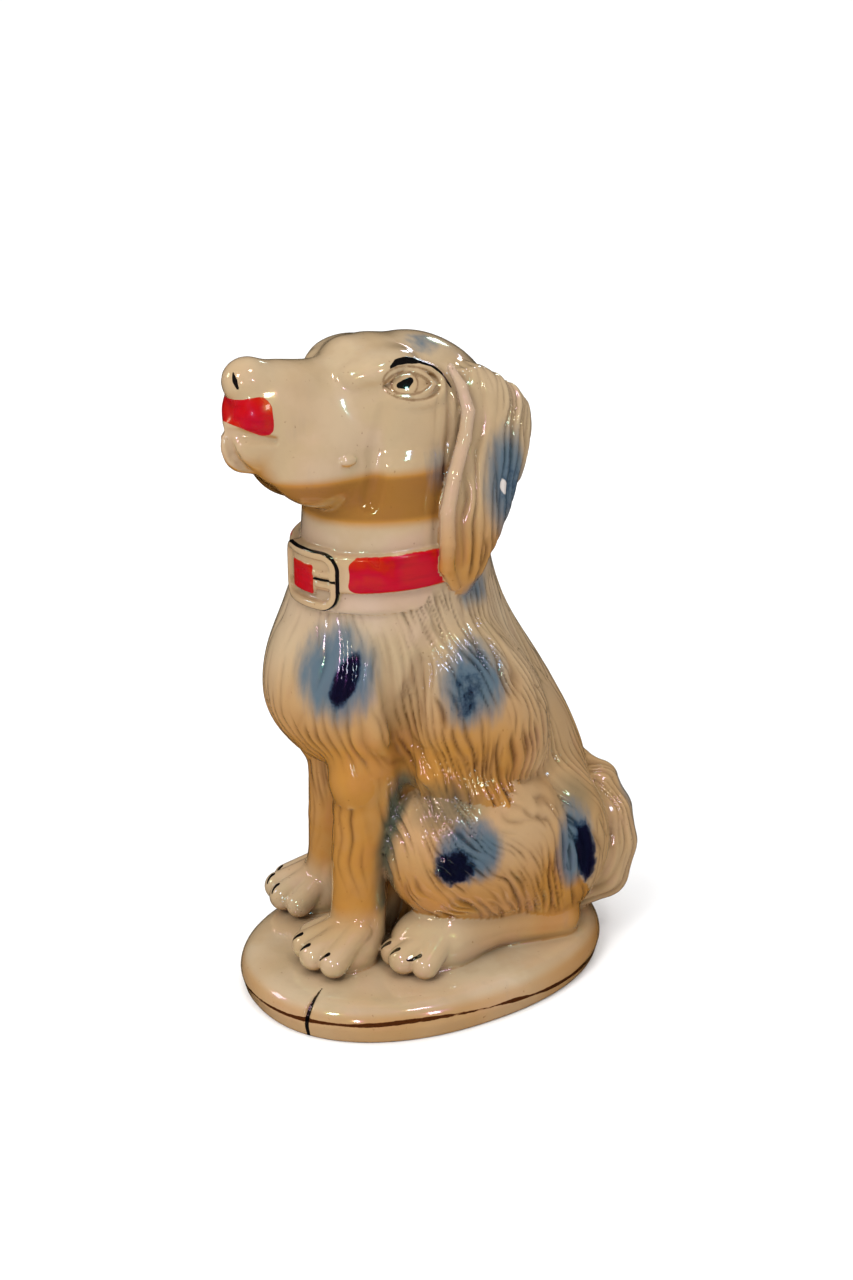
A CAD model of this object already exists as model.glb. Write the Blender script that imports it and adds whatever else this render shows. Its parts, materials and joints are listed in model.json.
"""Seated ceramic spaniel: the visual model, its glaze, the studio and the camera.

The clay is sculpted as a distance field in millimetres, in the dog's own frame: +x is the dog's
left, -y is where it looks, z is up from the shelf.  The field is cut into one closed piece for
each CAD node, and the pieces share every point of their seams.
"""
import itertools
import json
import math

import bpy
import numpy as np
from mathutils import Matrix, Vector


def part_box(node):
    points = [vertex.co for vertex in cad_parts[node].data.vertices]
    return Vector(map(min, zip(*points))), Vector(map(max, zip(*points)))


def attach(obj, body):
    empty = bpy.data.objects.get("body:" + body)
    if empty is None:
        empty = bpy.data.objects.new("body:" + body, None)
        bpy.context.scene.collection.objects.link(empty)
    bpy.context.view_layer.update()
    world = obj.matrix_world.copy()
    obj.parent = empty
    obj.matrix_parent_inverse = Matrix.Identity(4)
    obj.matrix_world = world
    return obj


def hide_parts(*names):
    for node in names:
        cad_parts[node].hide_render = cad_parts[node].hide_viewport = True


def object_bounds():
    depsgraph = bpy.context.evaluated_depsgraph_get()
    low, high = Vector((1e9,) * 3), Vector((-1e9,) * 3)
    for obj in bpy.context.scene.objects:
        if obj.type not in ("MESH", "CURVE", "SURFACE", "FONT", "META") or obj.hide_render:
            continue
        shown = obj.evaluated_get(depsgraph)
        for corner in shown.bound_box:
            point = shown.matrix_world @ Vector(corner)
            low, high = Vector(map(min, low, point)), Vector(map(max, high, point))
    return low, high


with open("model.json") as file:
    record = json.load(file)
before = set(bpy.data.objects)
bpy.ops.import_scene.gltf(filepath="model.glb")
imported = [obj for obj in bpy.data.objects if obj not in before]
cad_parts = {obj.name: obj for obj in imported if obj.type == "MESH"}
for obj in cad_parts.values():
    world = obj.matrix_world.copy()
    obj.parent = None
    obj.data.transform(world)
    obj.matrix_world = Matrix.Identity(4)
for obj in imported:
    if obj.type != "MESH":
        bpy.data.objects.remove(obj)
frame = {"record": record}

CAD_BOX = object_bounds()
MM = 0.001

# ---- The dog's frame and the head's frame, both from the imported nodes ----
LEFT_LEG, RIGHT_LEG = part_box("left_foreleg"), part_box("right_foreleg")
WEB_FRONT = -42.0
DOG_X = (LEFT_LEG[0][0] + RIGHT_LEG[1][0]) / 2 / MM
DOG_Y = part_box("leg_web")[0][1] / MM - WEB_FRONT
PLINTH_LOW, PLINTH_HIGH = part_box("plinth_shell")
PLINTH_TOP = PLINTH_HIGH[2] / MM
PLINTH_MIDDLE = ((PLINTH_LOW[0] + PLINTH_HIGH[0]) / 2 / MM - DOG_X,
                 (PLINTH_LOW[1] + PLINTH_HIGH[1]) / 2 / MM - DOG_Y)
PLINTH_TURN = math.radians(11.5)
PLINTH_HALF = (65.4, 88.3)
PLINTH_SQUARENESS = 2.2
PLINTH_RIM = 7.5
NECK_PIVOT_Y = -10.0
HEAD_TURN = math.radians(16.0)

COLLAR_FORWARD = 7.0
COLLAR_HALF_DEPTH = 43.6
COLLAR_HALF_WIDTH = 34.6
COLLAR_HEIGHT, COLLAR_FALL = 205.4, 0.025      # the band's middle, and how it falls to the front
BUCKLE_HEIGHT, BUCKLE_FALL = 203.0, 0.05
BUCKLE_RADIUS, BUCKLE_SHIFT = 38.0, 2.5        # the curve it is bent to, and how far left it sits

SIDES = (("left", 1), ("right", -1))
RIGHT_PAW_BACK = 2.5
RIGHT_HAUNCH_INSET = 5.0

VOXEL = 0.8
EMPTY = 50.0             # the field's value away from the clay
UNPAINTED = 99.0         # the distance given where a brush mark can't reach


def head_axes():
    """Unit vectors of the head: forward and to its left, in the dog's frame."""
    forward = np.array([math.sin(HEAD_TURN), -math.cos(HEAD_TURN), 0.0])
    left = np.array([math.cos(HEAD_TURN), math.sin(HEAD_TURN), 0.0])
    return forward, left


def head_point(forward, left, height):
    """A point of the dog's frame from the head's own measures."""
    along, across = head_axes()
    return np.array([0.0, NECK_PIVOT_Y, height]) + forward * along + left * across


def head_coordinates(x, y):
    """How far forward and how far left of the neck's pivot a place is."""
    along, across = head_axes()
    forward = x * along[0] + (y - NECK_PIVOT_Y) * along[1]
    left = x * across[0] + (y - NECK_PIVOT_Y) * across[1]
    return forward, left


# ---- Distance forms: each is a box in which it matters and a function of x, y and z ----
class Form:
    def __init__(self, low, high, distance):
        self.low = np.asarray(low, float)
        self.high = np.asarray(high, float)
        self.distance = distance


def turned(degrees):
    """A rotation about X."""
    return np.array(Matrix.Rotation(math.radians(degrees), 3, "X"))


def ellipsoid(centre, radii, spin=None):
    """An ellipsoid, turned by spin about its own middle."""
    centre = np.asarray(centre, float)
    radii = np.asarray(radii, float)
    spin = np.eye(3) if spin is None else spin
    reach = np.sqrt(((spin * radii) ** 2).sum(axis=1))

    def distance(x, y, z):
        offset = (x - centre[0], y - centre[1], z - centre[2])
        near = far = 0.0
        for axis in range(3):
            along = sum(offset[i] * spin[i, axis] for i in range(3)) / radii[axis]
            near = near + along ** 2
            far = far + (along / radii[axis]) ** 2
        near = np.sqrt(near)
        return near * (near - 1) / np.sqrt(far + 1e-9)

    return Form(centre - reach, centre + reach, distance)


def head_ellipsoid(forward, left, height, radii, pitch=0.0):
    """An ellipsoid in the head's frame; radii run forward, sideways and up."""
    spin = np.array(Matrix.Rotation(HEAD_TURN, 3, "Z")) @ turned(-pitch)
    return ellipsoid(head_point(forward, left, height), (radii[1], radii[0], radii[2]), spin)


def chain(points, radii):
    """Round cones end to end."""
    points = [np.asarray(point, float) for point in points]
    low = np.min([p - r for p, r in zip(points, radii)], axis=0)
    high = np.max([p + r for p, r in zip(points, radii)], axis=0)

    def distance(x, y, z):
        result = None
        for a, b, ra, rb in zip(points, points[1:], radii, radii[1:]):
            run = b - a
            offset = (x - a[0], y - a[1], z - a[2])
            along = sum(offset[i] * run[i] for i in range(3)) / float(run @ run)
            along = np.clip(along, 0.0, 1.0)
            gap = sum((offset[i] - along * run[i]) ** 2 for i in range(3))
            piece = np.sqrt(gap) - (ra + along * (rb - ra))
            result = piece if result is None else smooth_min(result, piece, 1.0)
        return result

    return Form(low, high, distance)


def level_curve(levels, column, softness=5.0):
    """A smooth function of height through one column of a table of levels."""
    heights = np.array([row[0] for row in levels], float)
    values = np.array([row[column] for row in levels], float)
    fine = np.arange(heights[0] - 4 * softness, heights[-1] + 4 * softness, 0.5)
    sampled = np.interp(fine, heights, values)
    kernel = np.exp(-0.5 * (np.arange(-3 * softness, 3 * softness + 0.25, 0.5) / softness) ** 2)
    padded = np.pad(sampled, len(kernel) // 2, mode="edge")
    smooth = np.convolve(padded, kernel / kernel.sum(), mode="valid")
    return lambda z: np.interp(z, fine, smooth)


def column(levels, in_head=False, softness=5.0, cap=3.0):
    """An upright form of oval sections: rows of height, front, back, half width and side."""
    front, back, half, side = (level_curve(levels, place, softness) for place in (1, 2, 3, 4))
    bottom, top = levels[0][0], levels[-1][0]
    reach = max(max(abs(row[1]), abs(row[2])) for row in levels) + 12
    width = max(row[3] + abs(row[4]) for row in levels) + 4
    if in_head:
        reach, width = reach + 6, width + 14
    low = (-max(reach, width) if in_head else -width, -reach, bottom)
    high = (max(reach, width) if in_head else width, reach, top)

    def distance(x, y, z):
        if in_head:
            forward, left = head_coordinates(x, y)
            across, along = left, -forward
        else:
            across, along = x, y
        middle = (front(z) + back(z)) / 2
        radius = np.maximum((back(z) - front(z)) / 2, 1.0)
        breadth = np.maximum(half(z), 1.0)
        p = (across - side(z)) / breadth
        q = (along - middle) / radius
        size = np.sqrt(p ** 2 + q ** 2)
        slope = np.sqrt((p / breadth) ** 2 + (q / radius) ** 2) / np.maximum(size, 1e-6)
        wall = (size - 1) / np.maximum(slope, 1e-6)
        ends = np.maximum(bottom - z, z - top)
        return smooth_max(wall, ends, cap)

    return Form(low, high, distance)


def smooth_min(a, b, blend):
    """The lower of two distances, with their corner filled."""
    overlap = np.maximum(blend - np.abs(a - b), 0.0) / blend
    return np.minimum(a, b) - overlap ** 2 * (blend * 0.25)


def smooth_max(a, b, blend):
    """The higher of two distances, with their corner rounded."""
    return -smooth_min(-a, -b, blend)


class Clay:
    """A block of voxels that holds the distance to the clay and which node owns each place."""

    def __init__(self, low, high, step):
        self.step = step
        self.low = np.asarray(low, float)
        counts = np.ceil((np.asarray(high) - self.low) / step).astype(int) + 1
        self.axes = [(low + np.arange(count) * step).astype(np.float32)
                     for low, count in zip(self.low, counts)]
        self.field = np.full(counts, EMPTY, np.float32)
        self.nearest = np.full(counts, EMPTY, np.float32)
        self.owner = np.zeros(counts, np.uint8)
        self.names = [None]

    def window(self, form, margin):
        """The block of voxels round a form, and its open coordinates."""
        first = np.clip(((form.low - margin - self.low) / self.step).astype(int), 0, None)
        last = np.ceil((form.high + margin - self.low) / self.step).astype(int) + 1
        cut = tuple(slice(a, max(b, a)) for a, b in zip(first, last))
        x, y, z = (axis[part] for axis, part in zip(self.axes, cut))
        return cut, x[:, None, None], y[None, :, None], z[None, None, :]

    def add(self, node, form, blend):
        """Press a form on, with a fillet as wide as blend."""
        cut, x, y, z = self.window(form, blend + 4.0)
        if node not in self.names:
            self.names.append(node)
        distance = form.distance(x, y, z).astype(np.float32)
        closer = distance < self.nearest[cut]
        self.nearest[cut] = np.where(closer, distance, self.nearest[cut])
        self.owner[cut] = np.where(closer, np.uint8(self.names.index(node)), self.owner[cut])
        self.field[cut] = smooth_min(self.field[cut], distance, blend)

    def carve(self, form, blend):
        """Press a form in."""
        cut, x, y, z = self.window(form, blend + 4.0)
        distance = form.distance(x, y, z).astype(np.float32)
        self.field[cut] = smooth_max(self.field[cut], -distance, blend)


# ---- The figure's forms ----
# height, front, back, half width, side
TORSO_LEVELS = [
    (15.0, -18.0, 72.0, 34.0, 0.0), (40.0, -21.0, 79.0, 36.0, 0.0), (62.0, -25.0, 81.5, 37.0, 0.0),
    (82.0, -31.0, 80.5, 36.0, 0.0), (96.0, -38.0, 77.5, 34.5, 0.0), (108.0, -50.0, 73.0, 34.0, 0.0),
    (119.0, -63.0, 68.0, 34.0, 0.0), (133.0, -73.0, 60.5, 35.0, 0.0), (149.0, -73.0, 51.0, 36.0, 0.0),
    (168.0, -69.0, 39.0, 37.5, 0.0), (186.0, -62.5, 31.5, 37.0, 0.0), (200.0, -57.0, 28.0, 35.0, 0.0),
    (214.0, -55.0, 26.0, 34.0, 0.0)]
NECK_LEVELS = [
    (186.0, -52.0, 36.0, 34.5, 0.0), (204.0, -50.5, 36.0, 34.0, 0.0), (216.0, -48.0, 35.5, 33.0, 0.0),
    (230.0, -47.0, 34.0, 32.5, 0.0), (252.0, -45.0, 31.0, 31.0, 0.0)]
# the left ear in the head's frame; the right ear is its mirror image
EAR_LEVELS = [
    (189.5, 3.0, 9.0, 2.5, 33.5), (194.0, -1.0, 14.0, 5.5, 34.0), (203.0, -5.5, 20.0, 7.5, 34.5),
    (216.0, -6.0, 27.5, 8.5, 34.0), (232.0, -4.5, 36.5, 9.0, 32.5), (244.0, 0.0, 42.5, 9.5, 31.0),
    (257.0, 7.0, 46.0, 9.5, 29.5), (269.0, 9.5, 44.0, 9.0, 28.5), (279.0, 7.0, 34.0, 7.5, 27.0),
    (286.0, 5.0, 19.0, 5.0, 24.5)]
EAR_EDGE = [(-3.0, 29.5, 288.0), (-6.0, 33.5, 280.0), (-7.5, 36.0, 270.0), (-5.0, 37.0, 259.0),
            (1.0, 38.0, 244.0), (5.5, 39.5, 229.0), (6.0, 40.5, 216.0), (5.5, 39.0, 205.0),
            (0.0, 37.5, 195.0)]
# the left paw's toes and the left hind foot's toes, each with its radius
PAW_TOES = (((14.5, -60.5, 24.0), 6.2), ((23.0, -65.5, 25.0), 6.9),
            ((33.0, -65.0, 25.0), 6.9), ((41.5, -58.5, 24.0), 6.5))
FOOT_TOES = (((40.5, -29.5, 23.5), 6.4), ((48.5, -28.0, 24.0), 6.8), ((55.0, -20.0, 23.0), 6.4))
# the lower edge of the shoulder's coat, where it hangs over the left haunch
FRINGE = ((33, -17, 108), (39, -3, 103), (42.5, 14, 95), (42.5, 32, 85), (39, 48, 77))
# the folds in front of the shoulder and beside the breast
SHOULDER_CREASE = ((41.5, -13, 176), (40.5, -15.5, 163), (38.5, -20.5, 145), (37, -23, 122), (36.5, -22, 104))
BREAST_CREASE = ((38, -34, 174), (37.5, -32, 158), (37, -29, 143), (36, -25, 129))
# the crack over the plinth's rim, from its inner end down to the shelf
PLINTH_CRACK = ((49, -67, 17.4), (55.0, -72.5, 16.2), (58.2, -76.0, 12.0), (59.4, -77.6, 6.0),
                (58.6, -76.6, 0.0))


def mirror(point, side):
    """The same place on the dog's left, where side is 1, or on its right, where it is -1."""
    return (point[0] * side, point[1], point[2])


def mirror_all(points, side):
    """A row of places on one side of the dog."""
    return [mirror(point, side) for point in points]


def build_plinth(clay):
    """The oval slab with its rounded top edge, its hollow and its crack."""
    half_x, half_y = PLINTH_HALF
    cos_turn, sin_turn = math.cos(PLINTH_TURN), math.sin(PLINTH_TURN)

    def oval(x, y, inset):
        dx, dy = x - PLINTH_MIDDLE[0], y - PLINTH_MIDDLE[1]
        p = (dx * cos_turn + dy * sin_turn) / (half_x - inset)
        q = (-dx * sin_turn + dy * cos_turn) / (half_y - inset)
        size = (np.abs(p) ** PLINTH_SQUARENESS + np.abs(q) ** PLINTH_SQUARENESS) ** (1 / PLINTH_SQUARENESS)
        spread = np.maximum(np.sqrt(p ** 2 + q ** 2), 1e-6)
        slope = np.sqrt((p / half_x) ** 2 + (q / half_y) ** 2) / spread
        return (size - 1) / np.maximum(slope, 1e-6)

    def slab(x, y, z):
        side = oval(x, y, 0.0) + 0.25 * np.maximum(PLINTH_RIM - z, 0.0)
        return smooth_max(smooth_max(side, z - PLINTH_TOP, 11.0), -z, 1.2)

    def hollow(x, y, z):
        return smooth_max(oval(x, y, 7.5), z - (PLINTH_TOP - 5.5), 5.0)

    low = (PLINTH_LOW[0] / MM - DOG_X - 2, PLINTH_LOW[1] / MM - DOG_Y - 2, 0.0)
    high = (PLINTH_HIGH[0] / MM - DOG_X + 2, PLINTH_HIGH[1] / MM - DOG_Y + 2, PLINTH_TOP)
    clay.add("plinth_shell", Form(low, high, slab), 0.8)
    clay.carve(chain(PLINTH_CRACK, (0.6, 0.9, 1.1, 1.1, 1.0)), 0.4)
    return Form((low[0], low[1], -3.0), (high[0], high[1], PLINTH_TOP), hollow)


def build_body(clay):
    """Chest, shoulders, belly and rump."""
    node = "torso_shell"
    clay.add(node, column(TORSO_LEVELS, softness=6.0), 1.0)
    clay.add(node, ellipsoid((0, -36.5, 144), (38, 36.5, 40)), 8.0)
    for side in (1, -1):
        clay.add(node, ellipsoid(mirror((23.5, 11, 133), side), (24.5, 34, 52), turned(31)), 4.0)
        clay.add(node, chain(mirror_all(FRINGE, side), (5.0, 6.5, 7.0, 7.0, 5.0)), 9.0)
        for share in np.linspace(0.0, 4.0, 11):
            x, y, z = (np.interp(share, range(5), [place[axis] for place in FRINGE]) for axis in range(3))
            lock = ((x - 1, y - 7, z + 14), (x + 4.0, y - 1, z + 1), (x + 4.5, y + 4, z - 9))
            clay.add(node, chain(mirror_all(lock, side), (2.6, 3.4, 0.9)), 2.2)
        for muscle, radii, blend in (((22.5, -36, 118), (14.5, 15.5, 24), 7.0),
                                     ((28, -37, 129), (11.5, 11, 12), 4.0),
                                     ((26, -43, 106), (11.5, 11, 13), 4.0)):
            clay.add(node, ellipsoid(mirror(muscle, side), radii), blend)
        clay.carve(chain(mirror_all(SHOULDER_CREASE, side), (1.5, 3.0, 4.0, 4.2, 3.6)), 4.5)
        clay.carve(chain(mirror_all(BREAST_CREASE, side), (0.8, 2.0, 2.6, 2.2)), 5.0)
        clay.add(node, ellipsoid(mirror((20, 56, 62), side), (27, 26, 38), turned(12)), 7.0)
    clay.add("leg_web", ellipsoid((0, -26, 58), (22, 15, 52)), 3.0)


def build_legs(clay):
    """Forelegs with their paws, haunches and hind feet."""
    for word, side in SIDES:
        leg, haunch, foot = f"{word}_foreleg", f"{word}_haunch", f"{word}_hind_foot"
        back = 0.0 if side > 0 else RIGHT_PAW_BACK
        inset = 0.0 if side > 0 else RIGHT_HAUNCH_INSET

        def stand(x, y, z):
            return mirror((x, y + back, z), side)

        def sit(x, y, z):
            return mirror((x - inset, y, z), side)

        post = ((23, -36, 112), (22.5, -38, 90), (22, -39.5, 66), (22.5, -40, 44), (24.5, -42, 30))
        clay.add(leg, chain([stand(*place) for place in post], (13.5, 13.4, 12.6, 12.4, 13.0)), 5.0)
        clay.add(leg, ellipsoid(stand(20, -32, 88), (12, 13, 26)), 5.0)
        clay.add(leg, ellipsoid(stand(27.5, -48.5, 24), (15.5, 16, 13.0)), 3.0)
        for toe, radius in PAW_TOES:
            root = stand(27.5 + 0.45 * (toe[0] - 27.5), -44, 34.0)
            clay.add(leg, chain([root, stand(*toe)], (6.0, radius)), 0.9)

        clay.add(haunch, ellipsoid(sit(33, 14, 67), (23.5, 46, 38), turned(-6)), 2.2)
        clay.add(haunch, ellipsoid(sit(36, -1, 70), (20, 25, 32)), 7.0)
        clay.add(haunch, ellipsoid(sit(31, 46, 44), (17, 23, 24)), 8.0)
        clay.add(foot, chain([sit(34, 52, 24), sit(36, 20, 27), sit(41, -4, 27)], (12.0, 11.5, 14.0)), 2.5)
        clay.add(foot, ellipsoid(sit(38, -9, 25), (16, 21, 16)), 4.0)
        for toe, radius in FOOT_TOES:
            root = sit(43 + 0.3 * (toe[0] - 46), -6, 33)
            clay.add(foot, chain([root, sit(*toe)], (6.5, radius)), 0.9)


def build_tail(clay):
    """The plume, curled down against the rump on the dog's left."""
    plume = ((3, 76, 84), (8, 83, 75), (12.5, 85.5, 62), (16, 86, 47), (18, 82.5, 33), (16, 70, 25))
    clay.add("tail", chain(plume, (7.5, 11.0, 13.5, 14.5, 13.5, 10.5)), 2.0)


def build_head(clay):
    """Skull, muzzle, jaw, brows, cheeks and neck."""
    node = "head_shell"
    clay.add(node, column(NECK_LEVELS, in_head=True, softness=4.0), 2.0)
    for forward, height, radii, blend in (
            (1, 261, (39, 31.5, 36.8), 5.0), (-14, 257, (28, 30, 30), 8.0), (19, 272, (22, 26, 27.6), 6.0),
            (29, 273, (13.5, 20, 26), 5.0), (45, 263, (31, 18.5, 28), 8.0), (66, 271, (19, 15.5, 23.5), 7.0),
            (76.5, 288.5, (10.5, 9.5, 9.5), 4.0), (60, 286, (22, 10, 6.5), 6.0),
            (79, 264, (10.5, 8.5, 13.5), 4.0)):
        clay.add(node, head_ellipsoid(forward, 0, height, radii), blend)
    for side in (1, -1):
        def row(*places):
            return [head_point(forward, left * side, height) for forward, left, height in places]

        clay.add(node, head_ellipsoid(74.5, 5.0 * side, 276, (10, 8, 9.5)), 3.0)
        clay.add(node, head_ellipsoid(45, 9 * side, 252, (25, 13.5, 20)), 6.0)
        clay.add(node, head_ellipsoid(9, 16 * side, 245, (24, 15.5, 21.5)), 3.0)
        clay.add(node, head_ellipsoid(22, 17 * side, 289, (14, 8, 6.5), pitch=-8), 5.0)
        clay.add(node, head_ellipsoid(34, 13 * side, 286, (6, 6, 5.5)), 3.0)
        clay.add(node, head_ellipsoid(-15, 21 * side, 272, (15, 9, 11)), 9.0)
        if side > 0:
            clay.add(node, head_ellipsoid(43.5, 22.6, 254.5, (4.2, 1.9, 2.4)), 0.6)
        mouth = row((90, 1, 270.0), (86, 7, 269.0), (80.5, 11.5, 267.5), (73, 14, 266))
        clay.carve(chain(mouth, (1.6, 2.2, 2.3, 1.2)), 2.0)
        clay.carve(chain(row((88.5, 3, 268), (86, 4, 259), (80, 4, 252)), (1.6, 2.0, 1.2)), 2.5)
        if side > 0:
            crease = row((28, 25.8, 275), (29.4, 25.6, 266), (31.4, 25.3, 256), (32, 25.3, 245),
                         (34.5, 24.0, 235))
            clay.carve(chain(crease, (0.6, 1.3, 1.7, 2.2, 2.4)), 4.0)
        clay.carve(chain(row((87.2, 3.4, 294.0), (86.0, 6.6, 288.0)), (1.2, 1.0)), 0.8)


def eye_frame(side):
    """The eye's middle and its own axes: back along the lid, up the lid, and outward."""
    middle = head_point(17.0, 25.0 * side, 283.0)
    outward = head_point(0.30, 0.84 * side, 0.42) - head_point(0, 0, 0)
    outward /= np.linalg.norm(outward)
    backward = head_point(-1.0, 0, -0.10) - head_point(0, 0, 0)
    backward -= (backward @ outward) * outward
    backward /= np.linalg.norm(backward)
    upward = np.cross(outward, backward) * -side
    if upward[2] < 0:
        upward = -upward
    return middle, backward, upward, outward


def eye_form(side, reach, function):
    """A form written in the eye's own axes, following the curve of the brow."""
    middle, backward, upward, outward = eye_frame(side)

    def distance(x, y, z):
        offset = (x - middle[0], y - middle[1], z - middle[2])
        u, v, w = (sum(offset[i] * axis[i] for i in range(3)) for axis in (backward, upward, outward))
        return function(u, v, w + u ** 2 / 85 + v ** 2 / 60)

    return Form(middle - reach, middle + reach, distance)


def oval_distance(u, v, half_u, half_v):
    """Distance to an ellipse in its plane."""
    near = np.sqrt((u / half_u) ** 2 + (v / half_v) ** 2)
    far = np.sqrt((u / half_u ** 2) ** 2 + (v / half_v ** 2) ** 2)
    return near * (near - 1) / np.maximum(far, 1e-6)


def almond_distance(u, v, half_u, half_v):
    """Distance to a pointed oval in its plane."""
    radius = (half_u ** 2 + half_v ** 2) / (2 * half_v)
    return np.sqrt(u ** 2 + (np.abs(v) + radius - half_v) ** 2) - radius


def build_eyes(clay):
    """Sockets, thick lids inside a wider fold, eyeballs and the raised iris rings."""
    def slant(u, v):
        return v + 0.10 * u

    for word, side in SIDES:
        def socket(u, v, w):
            return np.maximum(almond_distance(u - 1.2, slant(u, v), 11.0, 5.2), np.abs(w) - 2.2)

        def fold(u, v, w):
            rim = oval_distance(u - 3.6, slant(u, v) - 0.2, 14.2, 8.4)
            return np.sqrt(rim ** 2 + (w + 0.9) ** 2) - (1.9 + 0.5 * ease(0, 6, v))

        def lids(u, v, w):
            rim = almond_distance(u - 1.4, slant(u, v), 11.4, 5.6)
            return np.sqrt(rim ** 2 + (w + 0.1) ** 2) - (1.5 + 0.4 * ease(0, 5, v))

        def ball(u, v, w):
            lens = almond_distance(u - 1.2, slant(u, v), 10.0, 4.5)
            return np.maximum(lens, np.abs(w + 0.8) - 2.0 + (u ** 2 + v ** 2) / 60)

        def iris(u, v, w):
            ring = np.sqrt((np.sqrt(u ** 2 + (1.1 * v) ** 2) - 4.7) ** 2 + (w - 0.5) ** 2) - 0.7
            return np.maximum(ring, almond_distance(u - 1.2, slant(u, v), 10.0, 4.6))

        clay.add("head_shell", eye_form(side, 22, fold), 2.4)
        clay.carve(eye_form(side, 18, socket), 1.2)
        clay.add("head_shell", eye_form(side, 20, lids), 1.0)
        clay.add(f"{word}_eye", eye_form(side, 14, ball), 0.8)
        clay.add(f"{word}_eye", eye_form(side, 8, iris), 0.5)


def build_ears(clay):
    """The hanging ears with their rolled front edges."""
    for word, side in SIDES:
        node = f"{word}_ear"
        levels = [(z, front, back, half, across * side) for z, front, back, half, across in EAR_LEVELS]
        clay.add(node, column(levels, in_head=True, softness=3.0, cap=2.0), 2.5)
        edge = [head_point(forward, left * side, height) for forward, left, height in EAR_EDGE]
        clay.add(node, chain(edge, (1.5, 2.3, 2.8, 3.0, 3.2, 3.3, 3.4, 3.2, 2.4)), 1.6)
        valley = [head_point(forward - 7.0, (left + 2.2) * side, height)
                  for forward, left, height in EAR_EDGE[1:-2]]
        clay.carve(chain(valley, (0.8, 1.4, 1.8, 1.8, 1.8, 1.2)), 4.0)


def collar_place(x, y, z):
    """Arc length round the collar's front, height above the buckle's middle, and the angle."""
    forward, left = head_coordinates(x, y)
    angle = np.arctan2(left / COLLAR_HALF_WIDTH, (forward - COLLAR_FORWARD) / COLLAR_HALF_DEPTH)
    return angle * BUCKLE_RADIUS - BUCKLE_SHIFT, z - BUCKLE_HEIGHT + BUCKLE_FALL * forward, angle


def build_collar(clay):
    """The collar band, the buckle's frame, the strap end and the prong."""
    def neck(x, y, proud):
        forward, left = head_coordinates(x, y)
        return oval_distance(left, forward - COLLAR_FORWARD,
                             COLLAR_HALF_WIDTH + proud, COLLAR_HALF_DEPTH + proud)

    def band(x, y, z):
        forward, _ = head_coordinates(x, y)
        middle = COLLAR_HEIGHT - COLLAR_FALL * forward
        return smooth_max(neck(x, y, 2.6), np.abs(z - middle) - 8.3, 2.0)

    def frame_outline(along, up):
        return np.abs(rounded_box(along, up, 18.0, 13.2, 8.0) + 1.9) - 1.9

    def strap_outline(along, up):
        return rounded_box(along + 1.5, up, 7.5, 6.6, 1.0)

    def prong_outline(along, up):
        return np.minimum(rounded_box(along - 11.5, up - 3.2, 5.6, 1.5, 1.2),
                          rounded_box(along - 11.5, up + 1.6, 5.0, 1.2, 1.0))

    def raised(outline, proud, corner):
        def distance(x, y, z):
            along, up, _ = collar_place(x, y, z)
            return smooth_max(neck(x, y, proud), outline(along, up), corner)
        return Form((-25, -80, 186), (50, -38, 222), distance)

    clay.add("collar_band", Form((-60, -75, 190), (60, 45, 216), band), 0.8)
    clay.add("buckle_frame", raised(frame_outline, 4.0, 1.4), 0.6)
    clay.add("strap_end", raised(strap_outline, 3.4, 1.2), 0.6)
    clay.add("buckle_prong", raised(prong_outline, 3.8, 1.2), 0.6)


def rounded_box(u, v, half_u, half_v, corner):
    """Distance to a rectangle with rounded corners."""
    du = np.abs(u) - half_u + corner
    dv = np.abs(v) - half_v + corner
    outside = np.sqrt(np.maximum(du, 0) ** 2 + np.maximum(dv, 0) ** 2)
    return outside + np.minimum(np.maximum(du, dv), 0) - corner


def build_clay():
    """The whole figure as one field."""
    low = np.array(CAD_BOX[0]) / MM - (DOG_X, DOG_Y, 0) - 3.5
    high = np.array(CAD_BOX[1]) / MM - (DOG_X, DOG_Y, 0) + 3.5
    clay = Clay(low, high, VOXEL)
    hollow = build_plinth(clay)
    for build in (build_body, build_legs, build_tail, build_head, build_eyes, build_ears, build_collar):
        build(clay)
    clay.carve(hollow, 1.5)
    return clay


# ---- From field to closed meshes that share their seams ----
def sample(volume, points, low, step):
    """Trilinear samples of a volume."""
    place = (points - low) / step
    base = np.clip(place.astype(int), 0, np.array(volume.shape) - 2)
    part = place - base
    result = np.zeros(len(points), np.float32)
    for corner in itertools.product((0, 1), repeat=3):
        weight = np.prod([part[:, i] if corner[i] else 1 - part[:, i] for i in range(3)], axis=0)
        i, j, k = (base[:, n] + corner[n] for n in range(3))
        result += weight * volume[i, j, k]
    return result


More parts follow.
